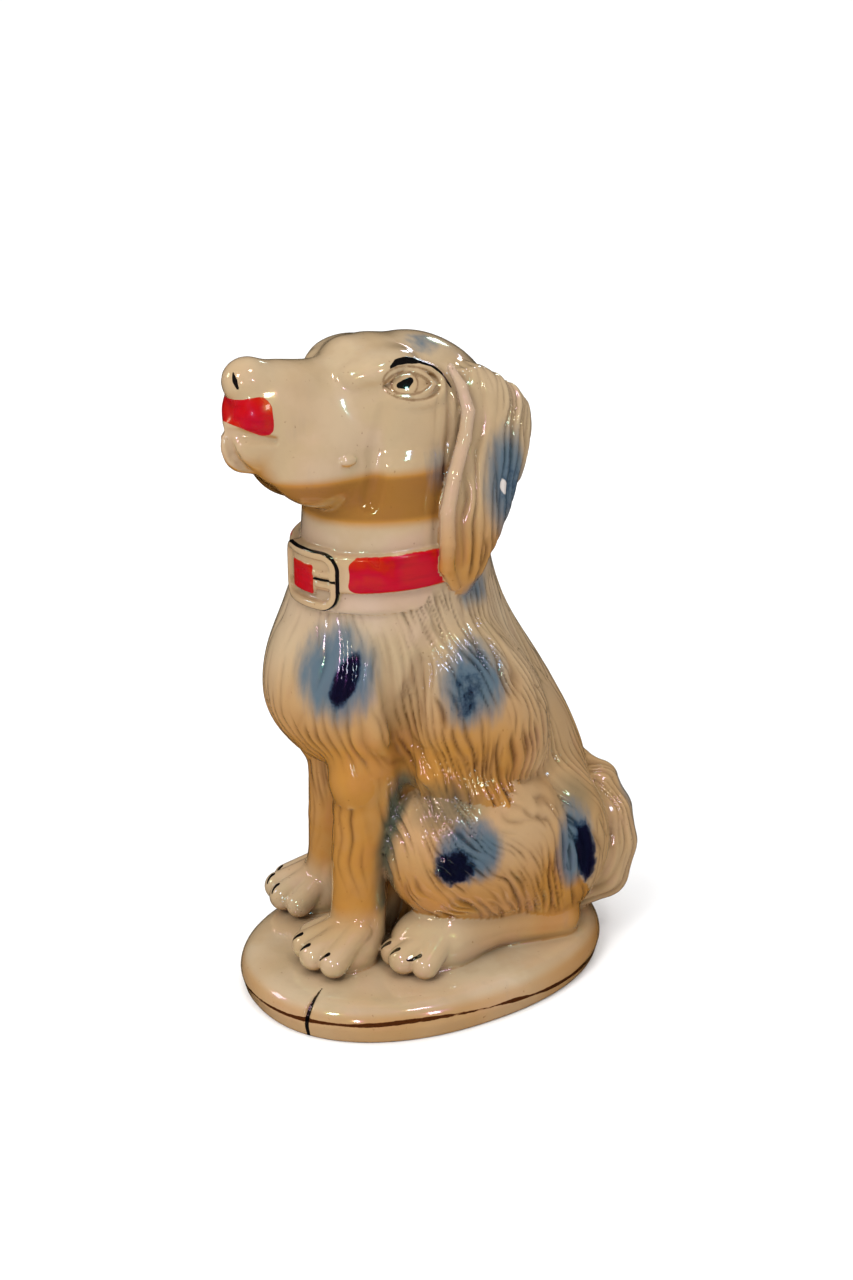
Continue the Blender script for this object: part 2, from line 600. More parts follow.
def surface_nets(clay):
    """Points and quads of every face between two labels; each quad knows both of them."""
    inside = clay.field < 0
    label = np.where(inside, clay.owner, 0).astype(np.uint8)
    nx, ny, nz = label.shape
    corners = list(itertools.product((0, 1), repeat=3))

    def corner_of(volume, corner):
        i, j, k = corner
        return volume[i:nx - 1 + i, j:ny - 1 + j, k:nz - 1 + k]

    active = np.zeros((nx - 1, ny - 1, nz - 1), bool)
    for corner in corners[1:]:
        active |= corner_of(label, corners[0]) != corner_of(label, corner)
    cells = np.argwhere(active)
    number = np.full(active.shape, -1, np.int32)
    number[active] = np.arange(len(cells), dtype=np.int32)

    values = {c: corner_of(clay.field, c)[active] for c in corners}
    labels = {c: corner_of(label, c)[active] for c in corners}
    skin_sum, skin_count = np.zeros((len(cells), 3)), np.zeros(len(cells))
    seam_sum, seam_count = np.zeros((len(cells), 3)), np.zeros(len(cells))
    for a, b in itertools.combinations(corners, 2):
        if sum(abs(p - q) for p, q in zip(a, b)) != 1:
            continue
        fa, fb = values[a], values[b]
        crossing = (fa < 0) != (fb < 0)
        share = np.where(crossing, fa / np.where(fa == fb, 1, fa - fb), 0.5)
        place = np.array(a) + share[:, None] * (np.array(b) - np.array(a))
        skin_sum += place * crossing[:, None]
        skin_count += crossing
        different = (labels[a] != labels[b]) & ~crossing
        seam_sum += place * different[:, None]
        seam_count += different
    on_skin = skin_count > 0
    total = np.where(on_skin[:, None], skin_sum, seam_sum)
    count = np.where(on_skin, skin_count, np.maximum(seam_count, 1))
    points = clay.low + (cells + total / count[:, None]) * clay.step

    quads, sides = [], []
    for axis in range(3):
        u, v = (axis + 1) % 3, (axis + 2) % 3
        ahead = [slice(None)] * 3
        behind = [slice(None)] * 3
        ahead[axis], behind[axis] = slice(1, None), slice(None, -1)
        first, second = label[tuple(behind)], label[tuple(ahead)]
        edges = np.argwhere(first != second)
        keep = (edges[:, u] > 0) & (edges[:, v] > 0)
        keep &= (edges[:, u] < label.shape[u] - 1) & (edges[:, v] < label.shape[v] - 1)
        edges = edges[keep]
        step_u, step_v = np.eye(3, dtype=int)[u], np.eye(3, dtype=int)[v]
        ring = [edges - step_u - step_v, edges - step_v, edges, edges - step_u]
        quads.append(np.stack([number[tuple(r.T)] for r in ring], axis=1))
        sides.append(np.stack([first[tuple(edges.T)], second[tuple(edges.T)]], axis=1))
    return points, np.concatenate(quads), np.concatenate(sides), on_skin


def vertex_normals(points, quads):
    """Area-weighted normals of a quad mesh."""
    p = points[quads]
    face = np.cross(p[:, 2] - p[:, 0], p[:, 3] - p[:, 1])
    total = np.zeros_like(points)
    for axis in range(3):
        for corner in range(4):
            total[:, axis] += np.bincount(quads[:, corner], face[:, axis], len(points))
    return total / np.maximum(np.linalg.norm(total, axis=1, keepdims=True), 1e-9)


# ---- Relief: the tooled fur, as shifts of the surface along its normal ----
def ease(low, high, value):
    """A smooth step from 0 at low to 1 at high."""
    share = np.clip((value - low) / (high - low), 0.0, 1.0)
    return share * share * (3 - 2 * share)


class Noise:
    """Smooth random values between -1 and 1 on a repeating lattice."""

    SIZE = 32

    def __init__(self, seed):
        self.lattice = np.random.default_rng(seed).uniform(-1, 1, (self.SIZE,) * 3).astype(np.float32)

    def __call__(self, x, y, z):
        place = np.stack(np.broadcast_arrays(x, y, z), axis=-1)
        base = np.floor(place).astype(int)
        part = place - base
        part = part * part * (3 - 2 * part)
        result = np.zeros(place.shape[:-1])
        for corner in itertools.product((0, 1), repeat=3):
            weight = np.ones_like(result)
            for axis in range(3):
                share = part[..., axis]
                weight = weight * (share if corner[axis] else 1 - share)
            i, j, k = ((base[..., n] + corner[n]) % self.SIZE for n in range(3))
            result += weight * self.lattice[i, j, k]
        return result


def strands(across, along, pitch, noise, wander=1.1, stroke=16.0, load=0.38):
    """Tooled strands: 0 in a groove's bottom and 1 on a ridge, with how deep the tool went."""
    ridges = []
    for share, seed in ((1.0, 3.7), (1.63, 23.1)):
        width = pitch * share
        shift = wander * noise(across / (pitch * 4.5), along / 34.0, seed)
        shift = shift + 0.40 * noise(across / (pitch * 1.7), along / 13.0, seed + 5.3)
        wave = np.abs(np.sin(math.pi * (across / width + shift)))
        tool = np.clip(load + 1.1 * noise(across / width * 0.8, along / stroke, seed + 13.0), 0.0, 1.2)
        ridges.append(1 - tool * (1 - wave) ** 1.7)
    return np.clip(np.minimum(*ridges), 0.0, 1.0)


BODY_AXIS = (np.array([0.0, -17.0, 205.0]), np.array([0.0, 34.0, 25.0]))


def body_coordinates(p):
    """Angle round the body's leaning axis and distance down it."""
    top, bottom = BODY_AXIS
    run = (bottom - top) / np.linalg.norm(bottom - top)
    fore = np.cross(run, (1.0, 0.0, 0.0))
    offset = p - top
    down = offset @ run
    return np.arctan2(offset[:, 0], offset @ -fore), down


def pair(word):
    """The node names of a piece that comes in a left and a right."""
    return f"left_{word}", f"right_{word}"


def ear_edge_forward(z):
    """How far forward the ear's rolled edge runs at each height."""
    return np.interp(z, [195, 205, 229, 244, 259, 270, 288], [0, 5, 5, 1.5, -6, -8.5, -3])


def fur_relief(p, owner_is):
    """How far the tooling sinks each point, and the ridge value that also tints the glaze."""
    noise = Noise(11)
    x, y, z = p.T
    forward, left = head_coordinates(x, y)
    sink = np.zeros(len(p))
    ridge_tint = np.ones(len(p))

    def press(mask, across, along, pitch, depth, **how):
        nonlocal sink, ridge_tint
        ridge = strands(across, along, pitch, noise, **how)
        sink = sink + mask * depth * (1 - ridge)
        ridge_tint = np.minimum(ridge_tint, 1 - np.minimum(mask, 1.0) * (1 - ridge))

    angle, down = body_coordinates(p)
    wave = 0.05 * np.sin(down / 17.0 + 3 * angle) + 0.10 * ease(90, 150, down) * np.sin(down / 11.0)
    smooth_leg = ease(108, 122, z) + ease(-24, -10, y)
    below_collar = 1 - ease(188, 196, z + 0.06 * y)
    mask = owner_is("torso_shell") * below_collar * np.clip(smooth_leg, 0, 1)
    quiet_breast = 1 - 0.55 * ease(-18, -40, y) * ease(120, 150, z)
    press(mask * quiet_breast, (angle + wave) * 44.0, down, 3.5, 1.9)

    slope = 0.8 * (z - 60) * np.exp(-((y - 12) / 38) ** 2)
    press(owner_is(*pair("haunch")) * ease(28, 38, z),
          y + slope + 3.0 * np.sin((y - 0.7 * z) / 15.0), y - z, 4.0, 2.0)

    curl = np.hypot(y - 60, z - 56)
    press(owner_is("tail"), np.arctan2(x - 12, curl - 28) * 13.0,
          np.arctan2(z - 56, y - 60) * 30, 3.7, 1.6)

    away_from_edge = ease(-4.5, -9.0, forward - ear_edge_forward(z))
    ear_mask = owner_is(*pair("ear")) * away_from_edge * ease(190, 205, z) * (1 - ease(276, 292, z))
    press(ear_mask, forward + 0.16 * z + 2.5 * np.sin(z / 24.0), z, 4.6, 1.9,
          wander=0.9, stroke=45.0, load=0.75)

    fold_mask = owner_is("head_shell") * ease(20, 25, np.abs(left)) * ease(8, -1, forward)
    fold_mask = fold_mask * ease(225, 240, z) * (1 - ease(272, 286, z))
    press(fold_mask, forward + 0.10 * z, z, 4.4, 1.5, wander=0.5, stroke=50.0, load=0.75)

    upper_leg = owner_is(*pair("foreleg")) * ease(45, 70, z)
    press(upper_leg, np.arctan2(y + 38, np.abs(x) - 22) * 13.0 + 0.1 * z, z, 5.5, 0.7, stroke=22.0)
    return sink, ridge_tint


# ---- Paint: distances in millimetres to each brush mark, negative inside, and soft airbrushed masks ----
def stroke_distance(p, points, widths, facing, depth=9.0):
    """Distance to a brush stroke laid on the surface, looking along facing."""
    facing = np.asarray(facing, float) / np.linalg.norm(facing)
    result = np.full(len(p), UNPAINTED)
    for a, b, wa, wb in zip(points, points[1:], widths, widths[1:]):
        a, b = np.asarray(a, float), np.asarray(b, float)
        offset = p - a
        run = b - a
        height = offset @ facing
        flat_offset = offset - height[:, None] * facing
        flat_run = run - (run @ facing) * facing
        along = np.clip(flat_offset @ flat_run / max(flat_run @ flat_run, 1e-9), 0, 1)
        gap = np.linalg.norm(flat_offset - along[:, None] * flat_run, axis=1)
        reach = gap - (wa + along * (wb - wa)) / 2
        near = np.abs(height - along * (run @ facing)) < depth
        result = np.minimum(result, np.where(near, reach, UNPAINTED))
    return result


def blob(p, centre, radii, spin=None):
    """A soft oval mask: 1 at its middle and 0 at its rim."""
    spin = np.eye(3) if spin is None else spin
    local = (p - np.asarray(centre, float)) @ spin / np.asarray(radii, float)
    return np.clip(1 - (local ** 2).sum(axis=1), 0, 1)


def eye_point(back, up, side):
    """A point of the eye's plane, so far back of the pupil and so far above it."""
    middle, backward, upward, _ = eye_frame(side)
    return middle + back * backward + up * upward


def paint_black(p):
    """Brows, pupils, nostrils, claws and the buckle's outline."""
    result = np.full(len(p), UNPAINTED)

    def stroke(points, widths, facing, depth=9.0):
        nonlocal result
        result = np.minimum(result, stroke_distance(p, points, widths, facing, depth))

    for side in (1, -1):
        facing = eye_frame(side)[3]
        arch = [(-6.0, 6.6), (-2.6, 8.6), (2.2, 9.3), (8.0, 8.8), (13.2, 6.4), (18.0, 2.2), (21.0, -3.5)]
        stroke([eye_point(back, up, side) for back, up in arch],
               (1.0, 2.8, 3.2, 2.4, 1.7, 1.3, 0.7), facing, 12.0)
        stroke([eye_point(-2.4, -0.5, side), eye_point(0.2, -0.3, side), eye_point(2.4, 0.9, side)],
               (2.6, 4.2, 2.8), facing, 6.0)
        nostril = [head_point(85.0, 3.6 * side, 293.5), head_point(85.5, 5.4 * side, 290.5),
                   head_point(84.0, 6.0 * side, 287.6)]
        stroke(nostril, (0.8, 2.2, 1.0), head_point(0.9, 0.45 * side, 0.1) - head_point(0, 0, 0))
        if side > 0:
            stroke(PLINTH_CRACK, (0.8, 1.5, 1.9, 1.9, 1.7), (0.6, -0.65, 0.5), 4.0)
        back = 0.0 if side > 0 else RIGHT_PAW_BACK
        inset = 0.0 if side > 0 else RIGHT_HAUNCH_INSET
        claws = [(x, y + back, z + radius) for (x, y, z), radius in PAW_TOES[1:]]
        claws += [(x - inset, y, z + radius) for (x, y, z), radius in FOOT_TOES]
        for x, y, top in claws:
            ends = ((x - 1.0, y - 6.5, top - 3.5), (x + 0.5, y - 2.5, top - 0.8))
            stroke(mirror_all(ends, side), (1.0, 2.2), (0.25 * side, -0.75, 0.6))
    return result


def paint_buckle(p):
    """The black outline round the buckle's frame and the strokes on its prong."""
    along, up, angle = collar_place(*p.T)
    forward, left = head_coordinates(p[:, 0], p[:, 1])
    spread = np.hypot(left / COLLAR_HALF_WIDTH, (forward - COLLAR_FORWARD) / COLLAR_HALF_DEPTH)
    rise = (spread - 1) * BUCKLE_RADIUS
    outline = np.abs(rounded_box(along, up, 17.8, 13.0, 8.0)) - 0.55
    outline = np.maximum(np.where(along > -17.0, outline, UNPAINTED), 2.0 - rise)
    prong = np.abs(rounded_box(along - 11.5, up - 0.7, 5.4, 0.25, 0.2)) - 0.35
    return np.where(np.abs(angle) < 1.4, np.minimum(outline, prong), UNPAINTED)


def paint_red(p, owner_is):
    """Lips, collar and strap end."""
    x, y, z = p.T
    forward, left = head_coordinates(x, y)
    along, up, _ = collar_place(x, y, z)
    taper = 8.0 / np.clip(8.6 - 0.36 * (forward - 76), 4.4, 9.0)
    lips = rounded_box(forward - 82.5, (z - 276.0 - 0.14 * (forward - 76)) * taper, 9.2, 8.0, 5.5)
    band = np.abs(z - COLLAR_HEIGHT + COLLAR_FALL * forward) - 8.0
    ragged = Noise(41)(z / 3.2, forward / 9.0, left / 9.0)
    ends = 24.3 - np.abs(along + 2.5) + 1.9 * ragged
    on_band = owner_is("collar_band") > 0.5
    collar = np.where(on_band, smooth_max(band + 0.35 * ragged, ends, 5.0), UNPAINTED)
    strap = np.where(owner_is("strap_end", "buckle_prong", "collar_band") > 0.5,
                     rounded_box(along + 1.5, up, 7.3, 6.4, 1.0), UNPAINTED)
    sliver = np.where(on_band, np.maximum(band, along + 21.0), UNPAINTED)
    return np.minimum(np.minimum(lips, collar), np.minimum(strap, sliver))


def spot_layers(p):
    """Airbrushed blue-grey spots and their navy hearts."""
    grey = np.zeros(len(p))
    navy = np.zeros(len(p))

    def spray(centre, radii, strength=1.0):
        nonlocal grey
        grey = np.maximum(grey, strength * blob(p, centre, radii))

    def heart(centre, radii, strength=1.0, spin=None):
        nonlocal navy
        navy = np.maximum(navy, strength * blob(p, centre, radii, spin))

    for side in (1, -1):
        def at(px, py, pz):
            return mirror((px, py, pz), side)
        spray(at(30, -51, 159), (23, 23, 28))
        heart(at(33.5, -48.5, 157), (13, 5.6, 15.5), 1.25, turned(-24 * side))
        spray(at(45, 6, 153), (24, 21, 26))
        heart(at(45.5, 3, 149), (14, 10, 14), 0.40)
        spray(at(55, 1, 76), (24, 20, 19))
        heart(at(56, -6, 70), (13, 11, 10), 1.1, turned(-25 * side))
        spray(at(44, 55, 66), (20, 14, 25))
        heart(at(44.5, 61.5, 61), (13, 6.5, 19), 1.15, turned(9 * side))
        spray(head_point(-25, 38 * side, 237), (17, 16, 30), 1.0)
        heart(head_point(-26, 38 * side, 233), (10, 9, 16), 0.30)
        spray(head_point(-2, 12 * side, 296), (11, 11, 9), 0.6)
        spray(head_point(6, 33 * side, 248), (6, 8, 17), 0.55)
        spray(at(28, 12, 190), (15, 12, 12), 0.75)
    spray((8, 99, 68), (20, 12, 26), 0.8)
    return grey, navy


def eye_lines(p):
    """Distance to the thin lines of caramel glaze that settled round the lids and the iris."""
    result = np.full(len(p), UNPAINTED)
    for side in (1, -1):
        middle, backward, upward, outward = eye_frame(side)
        u, v, w = ((p - middle) @ axis for axis in (backward, upward, outward))
        slanted = v + 0.10 * u
        opening = np.abs(almond_distance(u - 1.2, slanted, 10.2, 4.6)) - 0.40
        fold = np.abs(oval_distance(u - 3.0, slanted - 0.1, 12.6, 6.9)) - 0.35
        rim = np.maximum(np.abs(np.sqrt(u ** 2 + (1.1 * v) ** 2) - 5.6) - 0.2, np.abs(v) - 4.0)
        lines = np.minimum(np.minimum(opening, fold), rim)
        result = np.minimum(result, np.where((np.abs(w) < 9) & (np.abs(u) < 24), lines, UNPAINTED))
    return result


def fold_shade(p):
    """Caramel glaze settled in the folds of the shoulders and the breast."""
    shade = np.zeros(len(p))
    for side in (1, -1):
        for fold, strength in ((SHOULDER_CREASE, 0.9), (BREAST_CREASE, 0.55)):
            line = chain(mirror_all(fold, side), (0.5,) * len(fold))
            shade = np.maximum(shade, strength * ease(6.5, 1.5, line.distance(*p.T)))
    return shade


def pooled_green(p):
    """Grey-green glaze that ran into the crevice behind each foreleg and over the haunch."""
    mask = np.zeros(len(p))
    for side in (1, -1):
        crevice = mirror_all(((31, -22, 104), (32, -26, 92), (35, -30, 72), (34, -31, 46)), side)
        gap = chain(crevice, (1.0, 1.0, 1.0, 1.0)).distance(*p.T)
        mask = np.maximum(mask, ease(8.0, 0.0, gap))
        mask = np.maximum(mask, 0.7 * blob(p, mirror((50, -8, 97), side), (22, 22, 14)))
        mask = np.maximum(mask, 0.6 * blob(p, mirror((40, 57, 86), side), (16, 14, 14)))
    return mask


def bare_chip(p):
    """Distance to the pale chip on the left ear."""
    offset = p - head_point(-23.4, 40.8, 235.5)
    return np.sqrt((offset[:, 1] * 1.4) ** 2 + (offset[:, 2] * 0.7 + 0.5 * offset[:, 1]) ** 2) - 2.2


def paint_gilt(p, owner_is):
    """The copper line round the plinth's top edge, thicker and thinner as the brush was loaded."""
    noise = Noise(29)
    dx, dy = p[:, 0] - PLINTH_MIDDLE[0], p[:, 1] - PLINTH_MIDDLE[1]
    angle = np.arctan2(dy, dx)
    load = 0.9 + 0.5 * noise(angle * 2.2, 5.0, 1.0) + 0.35 * noise(angle * 6.0, 2.0, 8.0)
    height = 7.8 + 3.0 * np.cos(2 * (angle + 0.44)) + 0.5 * noise(angle * 3.0, 7.0, 4.0)
    line = np.abs(p[:, 2] - height) - np.clip(load, 0.25, 2.2)
    return np.where(owner_is("plinth_shell") > 0.5, line, UNPAINTED)


# ---- Pieces ----
def make_piece(name, points, quads, normals, on_skin, layers):
    """A closed mesh with the figure's shared normals on its skin and flat ones in its joints."""
    used, compact = np.unique(quads, return_inverse=True)
    compact = compact.reshape(quads.shape).astype(np.int32)
    mesh = bpy.data.meshes.new(name)
    mesh.vertices.add(len(used))
    place = (points[used] + (DOG_X, DOG_Y, 0.0)) * MM
    mesh.vertices.foreach_set("co", place.astype(np.float32).ravel())
    mesh.loops.add(compact.size)
    mesh.loops.foreach_set("vertex_index", compact.ravel())
    mesh.polygons.add(len(compact))
    mesh.polygons.foreach_set("loop_start", np.arange(0, compact.size, 4, dtype=np.int32))
    mesh.update(calc_edges=True)
    mesh.shade_smooth()
    for layer, values in layers.items():
        attribute = mesh.attributes.new(layer, "FLOAT", "POINT")
        attribute.data.foreach_set("value", values[used].astype(np.float32))
    corners = points[quads]
    flat = np.cross(corners[:, 2] - corners[:, 0], corners[:, 3] - corners[:, 1])
    flat /= np.maximum(np.linalg.norm(flat, axis=1, keepdims=True), 1e-9)
    skin_quad = on_skin[quads].all(axis=1)
    loop_normals = np.where(skin_quad[:, None, None], normals[quads], flat[:, None, :])
    mesh.normals_split_custom_set(loop_normals.reshape(-1, 3).tolist())
    piece = bpy.data.objects.new(name, mesh)
    bpy.context.scene.collection.objects.link(piece)
    return piece


def sculpt():
    """Model, tool, paint and split the figure; gives the pieces by node."""
    clay = build_clay()
    points, quads, sides, on_skin = surface_nets(clay)

    eps = clay.step
    gradient = np.stack([sample(clay.field, points + eps * np.eye(3)[i], clay.low, clay.step)
                         - sample(clay.field, points - eps * np.eye(3)[i], clay.low, clay.step)
                         for i in range(3)], axis=1) / (2 * eps)
    steepness = np.maximum((gradient ** 2).sum(axis=1), 0.05)
    miss = np.clip(sample(clay.field, points, clay.low, clay.step), -0.5 * eps, 0.5 * eps)
    points = points - np.where(on_skin, miss / steepness, 0.0)[:, None] * gradient

    skin_quads = quads[(sides == 0).any(axis=1)]
    flipped = (sides == 0)[(sides == 0).any(axis=1)][:, 0]
    skin_quads = np.where(flipped[:, None], skin_quads[:, ::-1], skin_quads)
    normals = vertex_normals(points, skin_quads)

    inner = np.round((points - 0.9 * normals * eps - clay.low) / eps).astype(int)
    inner = np.clip(inner, 0, np.array(clay.owner.shape) - 1)
    owner = clay.owner[tuple(inner.T)]

    def owner_is(*nodes):
        numbers = [clay.names.index(node) for node in nodes if node in clay.names]
        return np.isin(owner, numbers).astype(float)

    cavity = fold_shade(points)
    for reach in (2.0, 4.0):
        free = sample(clay.field, points + reach * normals, clay.low, clay.step) / reach
        cavity += 0.5 * np.clip(1 - free, 0, 1)

    sink, ridge = fur_relief(points, owner_is)
    tooled = points - np.where(on_skin, sink, 0.0)[:, None] * normals
    normals = vertex_normals(tooled, skin_quads)

    grey, navy = spot_layers(points)
    layers = {
        "ridge": ridge,
        "cavity": cavity,
        "grey_spot": grey,
        "navy_heart": navy,
        "black_line": np.minimum(paint_black(points), paint_buckle(points)),
        "red_paint": paint_red(points, owner_is),
        "gilt_line": paint_gilt(points, owner_is),
        "low_amber": amber_mask(points, normals, owner_is),
        "green_pool": pooled_green(points),
        "bare_chip": bare_chip(points),
        "eye_line": eye_lines(points),
        "lilac": lilac_mask(points, owner_is),
    }
    pieces = {}
    for number, node in enumerate(clay.names):
        if not node:
            continue
        own = np.concatenate([quads[sides[:, 0] == number], quads[sides[:, 1] == number][:, ::-1]])
        if len(own):
            pieces[node] = make_piece(f"{node}_glazed", tooled, own, normals, on_skin, layers)
    return pieces


def amber_mask(p, normals, owner_is):
    """Where the caramel glaze was sprayed: low on the body and on every underside."""
    x, y, z = p.T
    forward, _ = head_coordinates(x, y)
    underside = ease(0.15, 0.85, -normals[:, 2])
    rim = ease(0.9, 0.4, normals[:, 2])
    jaw = np.maximum(ease(250, 243, z) * ease(222, 229, z), 0.7 * underside * ease(226, 232, z))
    shares = (
        (["torso_shell"], (0.12 + 0.88 * ease(170, 112, z)) * (1 - 0.65 * ease(18, 52, y))),
        ([*pair("foreleg"), "leg_web"], 0.10 + 0.80 * ease(30, 50, z)),
        (pair("haunch"), 0.52 + 0.55 * ease(84, 46, z)),
        (pair("hind_foot"), 0.12 + 0.65 * ease(-12, 30, y)),
        (pair("ear"), 0.22 + 0.6 * ease(238, 205, z)),
        (["head_shell"], 0.20 + 1.30 * jaw * ease(-14, 2, forward)),
        (["plinth_shell"], 0.02 + 0.45 * rim + 0.30 * ease(10, 60, y)))
    mask = np.full(len(p), 0.30)
    for nodes, share in shares:
        mask = np.where(owner_is(*nodes) > 0.5, share, mask)
    return np.clip(np.maximum(mask, 0.7 * underside * (1 - owner_is("head_shell"))), 0, 1.5)


def lilac_mask(p, owner_is):
    """Where the lustre turns lilac: the ears' rolled edges, the neck and the breast."""
    z = p[:, 2]
    forward, _ = head_coordinates(p[:, 0], p[:, 1])
    roll = owner_is(*pair("ear")) * ease(6.0, 2.0, ear_edge_forward(z) - forward)
    neck = owner_is("head_shell") * ease(226, 218, z)
    breast = owner_is("torso_shell") * ease(165, 190, z)
    return np.maximum(0.6 * roll, np.maximum(0.45 * neck, 0.25 * breast))


# ---- Glaze ----
class Nodes:
    """Short calls for building a node tree."""

    def __init__(self, name):
        self.material = bpy.data.materials.new(name)
        self.material.use_nodes = True
        self.tree = self.material.node_tree
        self.shader = self.tree.nodes["Principled BSDF"]

    def node(self, kind, inputs=None, **settings):
        made = self.tree.nodes.new(kind)
        for key, value in settings.items():
            setattr(made, key, value)
        for key, value in (inputs or {}).items():
            self.feed(made.inputs[key], value)
        return made

    def feed(self, socket, value):
        if isinstance(value, bpy.types.NodeSocket):
            self.tree.links.new(value, socket)
        else:
            socket.default_value = value

    def layer(self, name):
        return self.node("ShaderNodeAttribute", attribute_name=name).outputs["Fac"]

    def math(self, operation, a, b=0.0, clamp=False):
        made = self.node("ShaderNodeMath", operation=operation, use_clamp=clamp)
        self.feed(made.inputs[0], a)
        self.feed(made.inputs[1], b)
        return made.outputs[0]

    def plus(self, a, b, clamp=False):
        return self.math("ADD", a, b, clamp)

    def times(self, a, b):
        return self.math("MULTIPLY", a, b)

    def swing(self, noise, gain):
        """A noise value centred on nought and scaled."""
        return self.times(self.math("SUBTRACT", noise, 0.5), gain)

    def ramp(self, value, low, high, to_low=0.0, to_high=1.0):
        made = self.node("ShaderNodeMapRange", {"Value": value, "From Min": low, "From Max": high,
                                                "To Min": to_low, "To Max": to_high},
                         interpolation_type="SMOOTHSTEP")
        return made.outputs["Result"]

    def noise(self, scale, detail=3.0, roughness=0.5, stretch=(1, 1, 1)):
        place = self.node("ShaderNodeTexCoord").outputs["Object"]
        mapped = self.node("ShaderNodeMapping", {"Vector": place, "Scale": stretch})
        made = self.node("ShaderNodeTexNoise", {"Vector": mapped.outputs["Vector"], "Scale": scale,
                                                "Detail": detail, "Roughness": roughness})
        return made.outputs["Fac"]

    def mix(self, share, a, b):
        made = self.node("ShaderNodeMix", data_type="RGBA", blend_type="MIX")
        self.feed(made.inputs["Factor"], share)
        self.feed(made.inputs[6], a)
        self.feed(made.inputs[7], b)
        return made.outputs[2]

    def bump(self, height, strength, distance, normal=None):
        made = self.node("ShaderNodeBump", {"Height": height, "Strength": strength, "Distance": distance})
        if normal is not None:
            self.feed(made.inputs["Normal"], normal)
        return made.outputs["Normal"]


CREAM = (0.450, 0.325, 0.190, 1)
PALE = (0.535, 0.425, 0.290, 1)
AMBER = (0.430, 0.195, 0.042, 1)
DEEP_AMBER = (0.120, 0.045, 0.011, 1)
LILAC = (0.530, 0.395, 0.340, 1)
OLIVE = (0.360, 0.300, 0.160, 1)
GREEN_GREY = (0.060, 0.075, 0.055, 1)
GREY_BLUE = (0.065, 0.120, 0.170, 1)
TEAL = (0.015, 0.050, 0.080, 1)
DEEP_BLUE = (0.012, 0.034, 0.072, 1)
CHIP = (0.620, 0.560, 0.520, 1)
NAVY = (0.004, 0.004, 0.015, 1)
BLACK = (0.006, 0.005, 0.005, 1)
RED = (0.440, 0.0005, 0.002, 1)
DARK_RED = (0.360, 0.0003, 0.001, 1)
COPPER = (0.230, 0.062, 0.014, 1)


def slip_color(n, cloud, fine, ridge):
    """Cream slip under lustre, with caramel glaze where it was sprayed and where it settled."""
    amber = n.layer("low_amber")
    drift = n.noise(11.0, 3.0, 0.6, (1, 1, 0.45))
    speck = n.noise(520.0, 2.0, 0.5)
    base = n.mix(n.ramp(cloud, 0.35, 0.70), CREAM, PALE)
    base = n.mix(n.ramp(drift, 0.50, 0.72, 0.0, 0.40), base, OLIVE)
    base = n.mix(n.times(n.layer("lilac"), n.ramp(cloud, 0.3, 0.6)), base, LILAC)
    clouds = n.plus(n.times(cloud, 0.85), n.times(drift, 1.05))
    base = n.mix(n.plus(amber, n.math("SUBTRACT", clouds, 0.96), clamp=True), base, AMBER)
    base = n.mix(n.ramp(amber, 0.95, 1.5, 0.0, 0.45), base, DEEP_AMBER)
    pooled = n.times(n.math("SUBTRACT", 1.0, ridge, clamp=True), 0.82)
    pooled = n.plus(pooled, n.times(n.layer("cavity"), 0.50), clamp=True)
    base = n.mix(n.times(pooled, n.ramp(amber, 0.1, 0.9, 0.42, 1.0)), base, DEEP_AMBER)
    base = n.mix(n.ramp(speck, 0.70, 0.78, 0.0, 0.45), base, DEEP_AMBER)
    settled = n.ramp(n.plus(n.layer("eye_line"), n.swing(fine, 1.2)), 0.5, -0.3, 0.0, 0.6)
    base = n.mix(settled, base, DEEP_AMBER)
    green = n.times(n.layer("green_pool"), n.ramp(cloud, 0.25, 0.6, 0.5, 0.95))
    return n.mix(green, base, GREEN_GREY)


def spot_color(n, base, cloud, fine, ridge):
    """Blue-grey airbrushed spots with navy hearts, and the chip on the ear."""
    streak = n.noise(150.0, 3.0, 0.6, (1, 1, 0.18))
    ragged = n.plus(n.swing(streak, 0.85), n.swing(cloud, 0.30))
    grey = n.times(n.ramp(n.plus(n.layer("grey_spot"), ragged), 0.08, 0.88), 0.92)
    base = n.mix(grey, base, n.mix(n.ramp(ridge, 0.2, 0.9), TEAL, GREY_BLUE))
    heart = n.layer("navy_heart")
    frayed = n.plus(ragged, n.swing(fine, 0.9))
    navy = n.times(n.plus(heart, n.times(frayed, 1.1)), n.ramp(heart, 0.0, 0.06))
    base = n.mix(n.ramp(navy, 0.02, 0.55, 0.0, 0.80), base, DEEP_BLUE)
    base = n.mix(n.ramp(navy, 0.30, 0.70), base, NAVY)
    chip = n.ramp(n.plus(n.layer("bare_chip"), n.swing(fine, 0.9)), 0.4, -0.2)
    return n.mix(chip, base, CHIP)


